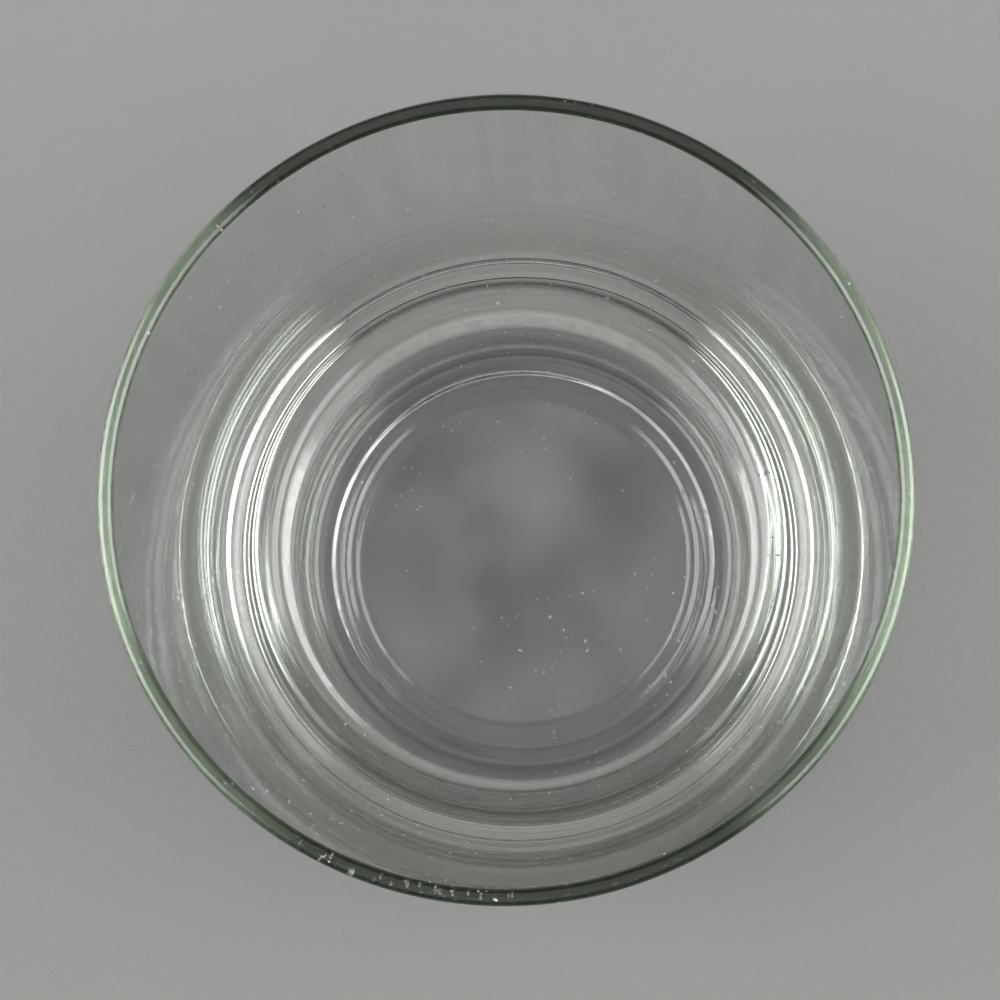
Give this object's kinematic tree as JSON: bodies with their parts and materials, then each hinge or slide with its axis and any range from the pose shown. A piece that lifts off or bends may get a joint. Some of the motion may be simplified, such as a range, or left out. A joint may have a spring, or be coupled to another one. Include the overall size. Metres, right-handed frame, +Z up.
{
  "type": "hurricane candle holder",
  "caption": "Clear glass hurricane candle holder: a flared open shade that lifts off a flanged glass cup whose well takes a pillar candle.",
  "frame": {"origin": "centre of the foot, on the surface that the holder stands on", "axes": "+Z up along the axis that both pieces are turned about"},
  "size_m": [0.13, 0.13, 0.0974],
  "materials": {
    "cup_glass": "clear pressed glass with a faint green edge tint",
    "shade_glass": "clear blown glass, fire polished edges"
  },
  "bodies": {
    "cup": {"candle_cup": "cup_glass"},
    "shade": {"shade": "shade_glass"}
  },
  "joints": [
    {"name": "shade_lift", "type": "slide", "parent": "cup", "child": "shade", "axis": [0, 0, 1], "range_m": [0, 0.04]}
  ]
}
